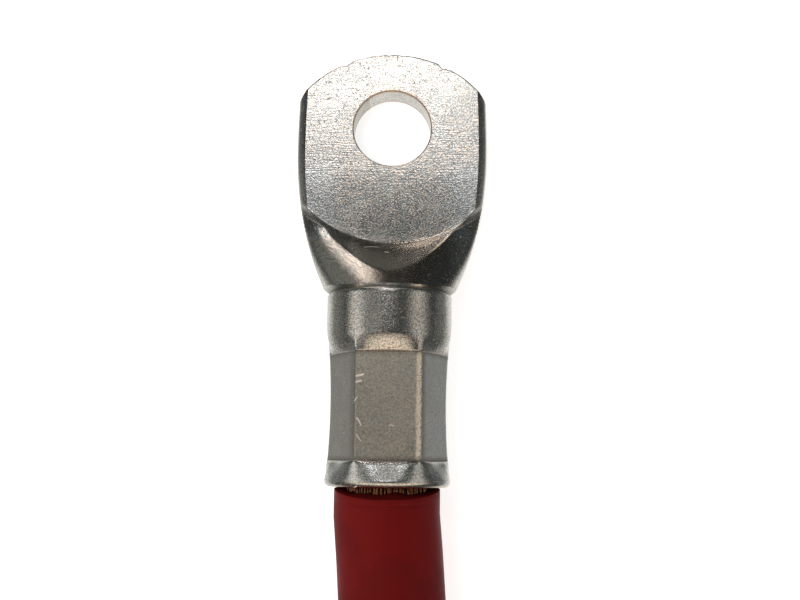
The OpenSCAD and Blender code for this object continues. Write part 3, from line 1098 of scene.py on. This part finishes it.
def scratches_group(name):
    """Short bent scratches, one in some of the cells of a plane, each at its own angle."""
    numbers = {"Spacing": 1.0, "Width": 0.03, "Share": 0.5}
    tree, inside, outside = new_group(name, numbers, ("Mask",))
    spacing = inside["Spacing"]
    cells = put(tree, "TexVoronoi", {
        "Vector": inside["Vector"], "Scale": number(tree, "DIVIDE", 1.0, spacing),
    }, voronoi_dimensions="2D").outputs
    chance = put(tree, "SeparateColor", {"Color": cells["Color"]}).outputs
    centre = vector(tree, "SCALE", cells["Position"], Scale=spacing)
    mark = bent_mark(
        tree, vector(tree, "SUBTRACT", inside["Vector"], centre),
        times(tree, chance["Red"], 12.0), spacing, inside["Width"],
        times(tree, chance["Green"], spacing), 0.3, (0.12, 0.3),
    )
    there = number(tree, "LESS_THAN", chance["Blue"], inside["Share"])
    feed(outside, {"Mask": times(tree, mark, there)})
    return tree


def nick_group(name):
    """One short bent mark at a chosen place."""
    numbers = {"Angle": 0.0, "Length": 1.0, "Width": 0.08, "Bend": 0.0}
    tree, inside, outside = new_group(name, numbers, ("Mask",), ("Vector", "Place"))
    mark = bent_mark(
        tree, vector(tree, "SUBTRACT", inside["Vector"], inside["Place"]),
        times(tree, inside["Angle"], -1.0), inside["Length"], inside["Width"],
        inside["Bend"], 0.2, (0.35, 0.55),
    )
    feed(outside, {"Mask": mark})
    return tree


def new_material(name):
    """A new material, its nodes and its main shader."""
    material = bpy.data.materials.new(name)
    material.use_nodes = True
    tree = material.node_tree
    return material, tree, tree.nodes["Principled BSDF"]


def in_millimetres(tree):
    """Object coordinates in millimetres."""
    coordinates = put(tree, "TexCoord", {}).outputs["Object"]
    return vector(tree, "SCALE", coordinates, Scale=1 / MM)


def mask(tree, name):
    """A mask that the script has worked out at each point of the mesh."""
    return put(tree, "Attribute", {}, attribute_name=name).outputs["Fac"]


def relief(tree, height):
    """Normals of a fine relief, from a height in millimetres."""
    return put(tree, "Bump", {"Height": height, "Distance": MM}).outputs["Normal"]


# Single marks on the front of the lug: across, along from the stud hole, angle, length,
# width and bend, in millimetres and degrees
NICKS = (
    (-3.5, 11.3, 12, 1.2, 0.08, 0.5), (-2.05, 13.35, 5, 1.7, 0.07, 0.3),
    (-0.4, 14.1, -10, 0.5, 0.07, 0.1), (2.1, 9.3, -50, 0.5, 0.1, 0.1),
    (-3.6, 10.0, 60, 0.6, 0.07, 0.0), (4.0, 6.3, 70, 0.4, 0.08, 0.0),
    (-2.7, 27.5, 15, 0.9, 0.12, 0.2), (-2.8, 28.1, 10, 0.7, 0.1, 0.1),
    (-3.05, 29.8, 50, 0.5, 0.08, 0.0), (-2.7, 31.9, -60, 0.9, 0.1, 0.1),
    (0.45, 32.25, -15, 0.5, 0.08, 0.0), (-2.7, 33.45, -55, 0.9, 0.08, 0.0),
    (-3.2, 38.2, 40, 1.1, 0.1, 0.3), (4.8, 4.4, 70, 0.4, 0.1, 0.0),
)


def nick_mask(tree, place):
    """All the single marks together."""
    marks = 0.0
    for across, along, angle, length, width, bend in NICKS:
        nick = use_group(
            tree, nick_group, place, Place=(across, -along, 0), Angle=math.radians(angle),
            Length=length, Width=width, Bend=bend,
        )
        marks = number(tree, "MAXIMUM", nick["Mask"], marks)
    return marks


def tinned_copper(colours):
    """Thin dull tin over copper: speckled, warmer where the die has pressed it, and worn to the
    copper along its sheared edges. It carries painted shade on the crimp's sides, the neck's foot
    and valley, and painted glints and a painted highlight on its scratches and rubbed corner."""
    material, tree, shader = new_material("tinned_copper")
    place = in_millimetres(tree)
    palm, brushed, foot, valley, side, pressed, seam, corner, pale, bare, grime = [
        mask(tree, name) for name in (
            "palm", "brushed", "foot", "valley", "side", "pressed", "seam", "corner", "pale",
            "bare", "grime",
        )
    ]
    grain = use_group(tree, grain_group, place, Size=0.14)
    value, fine = grain["Value"], grain["Fine"]
    stains = use_group(tree, patches_group, place, Size=2.2, Cover=0.45)["Mask"]
    mottled = use_group(tree, patches_group, place, Size=0.3, Cover=0.5)["Mask"]
    wipes = use_group(tree, scratches_group, place, Spacing=1.3, Width=0.06, Share=0.45)["Mask"]
    # Mirrored, so that these don't follow the patches and scratches above
    mirrored = vector(tree, "MULTIPLY", place, (1, 1, -1))
    dull = use_group(tree, patches_group, mirrored, Size=4.5, Cover=0.5)["Mask"]
    mirrored = vector(tree, "MULTIPLY", place, (1, -1, 1))
    hairs = use_group(
        tree, scratches_group, mirrored, Spacing=0.75, Width=0.045, Share=0.5
    )["Mask"]
    pits = ramp(tree, cloud(tree, place, 3.2, 3.0), 0.64, 0.70)
    # Fine lines across the palm
    lines = cloud(tree, vector(tree, "MULTIPLY", place, (0.5, 9, 3)), 1.0, 2.0)
    nicks = nick_mask(tree, place)

    paler = times(tree, pale, ramp(tree, value, 0.4, 0.6, 0.2, 0.9))
    # The rubbed corner, painted bright as a highlight
    rubbed = times(tree, corner, ramp(tree, value, 0.35, 0.5))
    mottle = times(tree, mottled, total(tree, 0.06, (pressed, 0.12)))
    worn = times(tree, bare, ramp(tree, value, 0.35, 0.55))
    # Grime and painted shade, broken up by the fine speckle
    dirt_and_shade = times(tree, grime, ramp(tree, fine, 0.3, 0.6, 0.4, 1.0))
    # Scratches are rare on the palm and on the sides of the crimp
    clear = times(tree, total(tree, 1.0, (palm, -0.8)), total(tree, 1.0, (side, -0.8)))
    marks = times(tree, total(tree, wipes, (hairs, 0.7)), clear)
    # Scratches and nicks, painted bright as glints
    torn = times(tree, marks, ramp(tree, fine, 0.35, 0.55, 0.1, 0.6))
    torn = number(tree, "MAXIMUM", torn, nicks)

    # The speckle is weaker on the sides of the crimp
    speckle = ramp(tree, value, 0.42, 0.58, -0.5, 0.5)
    speckle = total(tree, 0.5, (speckle, total(tree, 1.0, (side, -0.75))))
    colour = blend(tree, speckle, colours.cool_tin, colours.warm_tin)
    for cover, coat in (
        (times(tree, stains, 0.3), colours.warm_tin),
        (times(tree, pressed, 0.35), colours.pressed_tin),
        (paler, colours.pale_tin),
        # Painted shade on the sides of the crimp and beside the corners of its front
        (total(tree, times(tree, side, 0.08), (seam, 0.45)), colours.grime),
        (rubbed, colours.rubbed_tin),
        (times(tree, dull, palm, 0.12), colours.cool_tin),
        # Painted shade along the foot of the press tool's cone and in the valley of the neck
        (times(tree, foot, 0.25), colours.grime),
        (times(tree, valley, 0.62), colours.grime),
        (mottle, colours.grime),
        (times(tree, pits, 0.5), colours.worn_copper),
        (worn, colours.worn_copper),
        (dirt_and_shade, colours.grime),
        (torn, colours.torn_tin),
    ):
        colour = blend(tree, cover, colour, coat)

    # Off the palm the pale places are duller
    bloom = times(tree, pale, total(tree, 1.0, (palm, -1.0)))
    rough = total(
        tree, 0.13, (dull, 0.05), (foot, 0.1), (bloom, 0.14), (pressed, 0.2), (worn, 0.1),
        (rubbed, 0.15), (dirt_and_shade, 0.3),
    )
    # The speckle stands up less on the palm and on the sides, and more where it was pressed
    strength = total(tree, 1.85, (palm, -0.9), (pressed, 0.5), (side, -1.3))
    height = total(tree, times(tree, value, 0.008), (fine, 0.003))
    height = total(
        tree, times(tree, height, strength), (times(tree, lines, brushed), 0.007),
        (pits, -0.02), (marks, -0.014), (nicks, -0.05),
    )
    feed(shader, {
        "Base Color": colour,
        # Torn and rubbed tin scatters the light, as painted glints on the scratches and nicks and
        # a painted highlight on the rubbed corner
        "Metallic": total(tree, 1.0, (number(tree, "MAXIMUM", torn, rubbed), -0.8)),
        "Roughness": rough,
        "Normal": relief(tree, height),
    })
    return material


def bare_copper(colours):
    """Fine drawn wires, bright or browned by turns, and painted dark as shade deep in the bundle.
    """
    material, tree, shader = new_material("bare_copper")
    place = in_millimetres(tree)
    grain = use_group(tree, grain_group, place, Size=0.25)
    brown = use_group(tree, patches_group, place, Size=0.6, Cover=0.5)["Mask"]
    colour = blend(tree, brown, colours.bright_copper, colours.brown_copper)
    feed(shader, {
        "Base Color": blend(tree, mask(tree, "deep"), colour, colours.deep_copper),
        "Metallic": 1,
        "Roughness": ramp(tree, grain["Value"], 0.3, 0.7, 0.22, 0.45),
        "Normal": relief(tree, times(tree, grain["Fine"], 0.004)),
    })
    return material


def red_jacket(colours):
    """Smooth red cable plastic, a little waxy, with scuffs and faint dents, and painted shade on
    its cut face.
    """
    material, tree, shader = new_material("red_jacket")
    place = in_millimetres(tree)
    grain = use_group(tree, grain_group, place, Size=0.12)
    cloudy = use_group(tree, patches_group, place, Size=5.0, Cover=0.5)["Mask"]
    scuffs = use_group(tree, scratches_group, place, Spacing=2.6, Width=0.05, Share=0.3)["Mask"]
    # The cut face and inside of the jacket, painted darker as shade
    edge = mask(tree, "cut_edge")
    colour = blend(tree, cloudy, colours.jacket, colours.dull_jacket)
    colour = blend(tree, times(tree, scuffs, 0.2), colour, colours.scuffed_jacket)
    height = total(tree, times(tree, grain["Value"], 0.003), (scuffs, -0.005))
    feed(shader, {
        "Base Color": blend(tree, times(tree, edge, 0.6), colour, colours.cut_jacket),
        "IOR": 1.25,
        "Specular IOR Level": 0.25,
        "Roughness": total(tree, 0.42, (cloudy, 0.08), (edge, 0.2)),
        "Normal": relief(tree, height),
    })
    return material


# The stage

# Soft glows of the room, as (direction, full out to, faded by, width, colour, strength).
# The two angles are in degrees from the direction, and width stretches the glow sideways
GLOWS = (
    # The walls all round, the pale table below, and the ceiling
    ((0, 0, 1), 180, 181, 1, (0.88, 1, 0.98), 0.06),
    ((0, 0, -1), 35, 63, 1, (1, 1, 0.96), 0.82),
    ((0, 0.1, 1), 8, 25, 1, (0.97, 1, 0.97), 0.06),
    # A narrow lamp overhead, and the ceiling to its left
    ((-0.05, 0.418, 1), 3, 4.2, 4, (1, 0.98, 0.97), 3),
    ((-0.6, 0, 1), 8, 28, 1, (1, 0.98, 0.93), 0.25),
    # High and low on the left, then high and low on the right
    ((-1, 0, 0.53), 7, 22, 1, (1, 0.97, 0.91), 0.85),
    ((-1, 0, -0.4), 10, 30, 1, (1, 0.98, 0.93), 0.15),
    ((1, 0, 0.7), 8, 26, 1, (1, 0.94, 0.86), 0.5),
    ((1, 0, -0.4), 8, 28, 1, (1, 0.98, 0.93), 0.12),
    # A broad pale wall beyond the tip, and a warm one beyond the cable
    ((0, 0.62, 0.78), 5, 15, 4, (1, 1, 0.95), 0.34),
    ((0, -1, 0.8), 9, 33, 6, (1, 0.84, 0.66), 0.9),
    # Small bright openings beyond the tip on its left, and a broad dim place beside them
    ((-0.16, 0.89, 0.42), 1.5, 4.5, 1, (1, 0.92, 0.86), 14),
    ((-0.25, 0.93, 0.26), 1.5, 4.5, 1, (1, 0.92, 0.86), 6),
    ((-0.33, 0.94, 0), 2.5, 6, 1, (1, 0.93, 0.86), 3),
    ((-0.4, 0.89, 0.2), 2.5, 6, 1, (1, 0.93, 0.86), 2),
    ((-0.27, 0.94, -0.2), 2.5, 5.5, 1, (1, 0.93, 0.86), 2),
    ((-0.6, 0.75, -0.25), 10, 30, 1, (1, 1, 0.88), 0.12),
)


def add_glow(tree, source, direction, inner, outer, width):
    """A mask that is 1 within the inner angle of a direction and 0 past the outer one."""
    squash = Vector((1 / width, 1, 1))
    unit = vector(tree, "NORMALIZE", vector(tree, "MULTIPLY", source, squash))
    towards = (Vector(direction) * squash).normalized()
    dot = put(tree, "VectorMath", {0: unit, 1: towards}, operation="DOT_PRODUCT")
    angle = number(tree, "ARCCOSINE", dot.outputs["Value"])
    return ramp(tree, angle, math.radians(inner), math.radians(outer), 1, 0)


class LUG_OT_stage(bpy.types.Operator):
    """Set up the floor, the light of the room and the camera"""

    bl_idname = "cable_lug.stage"
    bl_label = "Stage"

    def execute(self, context):
        scene = context.scene
        settings = scene.stage_settings
        self.add_camera(scene, settings)
        self.add_floor()
        self.add_light(scene)
        return {"FINISHED"}

    def add_camera(self, scene, settings):
        data = bpy.data.cameras.new("camera")
        data.lens = settings.lens
        data.sensor_width = 36
        data.clip_start = 5 * MM
        camera = bpy.data.objects.new("camera", data)
        camera.location = settings.place
        camera.rotation_euler = (settings.tilt, 0, settings.roll)
        scene.collection.objects.link(camera)
        scene.camera = camera

    def add_floor(self):
        bm = bmesh.new()
        bmesh.ops.create_grid(bm, x_segments=1, y_segments=1, size=3)
        bmesh.ops.translate(bm, vec=(0, 0, -0.02 * MM), verts=bm.verts)
        floor = make_object("floor", bm)
        material, _, shader = new_material("floor")
        feed(shader, {
            "Base Color": (0.9, 0.9, 0.9, 1), "Roughness": 0.9,
            "Emission Color": (1, 1, 1, 1), "Emission Strength": 0.75,
        })
        floor.data.materials.append(material)
        floor.visible_glossy = False

    def add_light(self, scene):
        scene.view_settings.view_transform = "Standard"
        world = bpy.data.worlds.new("room")
        world.use_nodes = True
        scene.world = world
        tree = world.node_tree
        towards = put(tree, "TexCoord", {}).outputs["Generated"]
        room = (0, 0, 0)
        for direction, inner, outer, width, colour, strength in GLOWS:
            glow = add_glow(tree, towards, direction, inner, outer, width)
            tinted = vector(tree, "SCALE", Vector(colour) * strength, Scale=glow)
            room = vector(tree, "ADD", room, tinted)
        feed(tree.nodes["Background"], {"Color": room})
        # A soft light overhead for what isn't shiny
        data = bpy.data.lights.new("overhead", "AREA")
        data.size = 0.3
        data.energy = 0.6
        overhead = bpy.data.objects.new("overhead", data)
        overhead.location = (-0.2, 0, 0.36)
        overhead.rotation_euler = (0, math.radians(-29), 0)
        overhead.visible_glossy = False
        scene.collection.objects.link(overhead)


# The add-on

class LUG_PT_panel(bpy.types.Panel):
    """Lists the pieces, their sizes and colours, and the stage"""

    bl_label = "Cable Lug"
    bl_idname = "LUG_PT_panel"
    bl_space_type = "VIEW_3D"
    bl_region_type = "UI"
    bl_category = "Cable Lug"

    def draw(self, context):
        layout = self.layout
        for piece in OPERATORS:
            layout.operator(piece.bl_idname)
        for name in GROUPS:
            group = getattr(context.scene, name)
            box = layout.box()
            for key in group.bl_rna.properties.keys():
                if key not in {"rna_type", "name"}:
                    box.prop(group, key)


GROUPS = {
    "lug_sizes": LugSizes, "cable_sizes": CableSizes, "colours": Colours,
    "stage_settings": StageSettings,
}
OPERATORS = (LUG_OT_stage, LUG_OT_strands, LUG_OT_jacket, LUG_OT_lug)
CLASSES = (*GROUPS.values(), *OPERATORS, LUG_PT_panel)


def register():
    for cls in CLASSES:
        bpy.utils.register_class(cls)
    for name, group in GROUPS.items():
        setattr(bpy.types.Scene, name, bpy.props.PointerProperty(type=group))


def unregister():
    for name in GROUPS:
        delattr(bpy.types.Scene, name)
    for cls in reversed(CLASSES):
        bpy.utils.unregister_class(cls)


def main():
    register()
    bpy.ops.cable_lug.stage()
    bpy.ops.cable_lug.strands()
    bpy.ops.cable_lug.jacket()
    bpy.ops.cable_lug.lug()


if __name__ == "__main__":
    main()
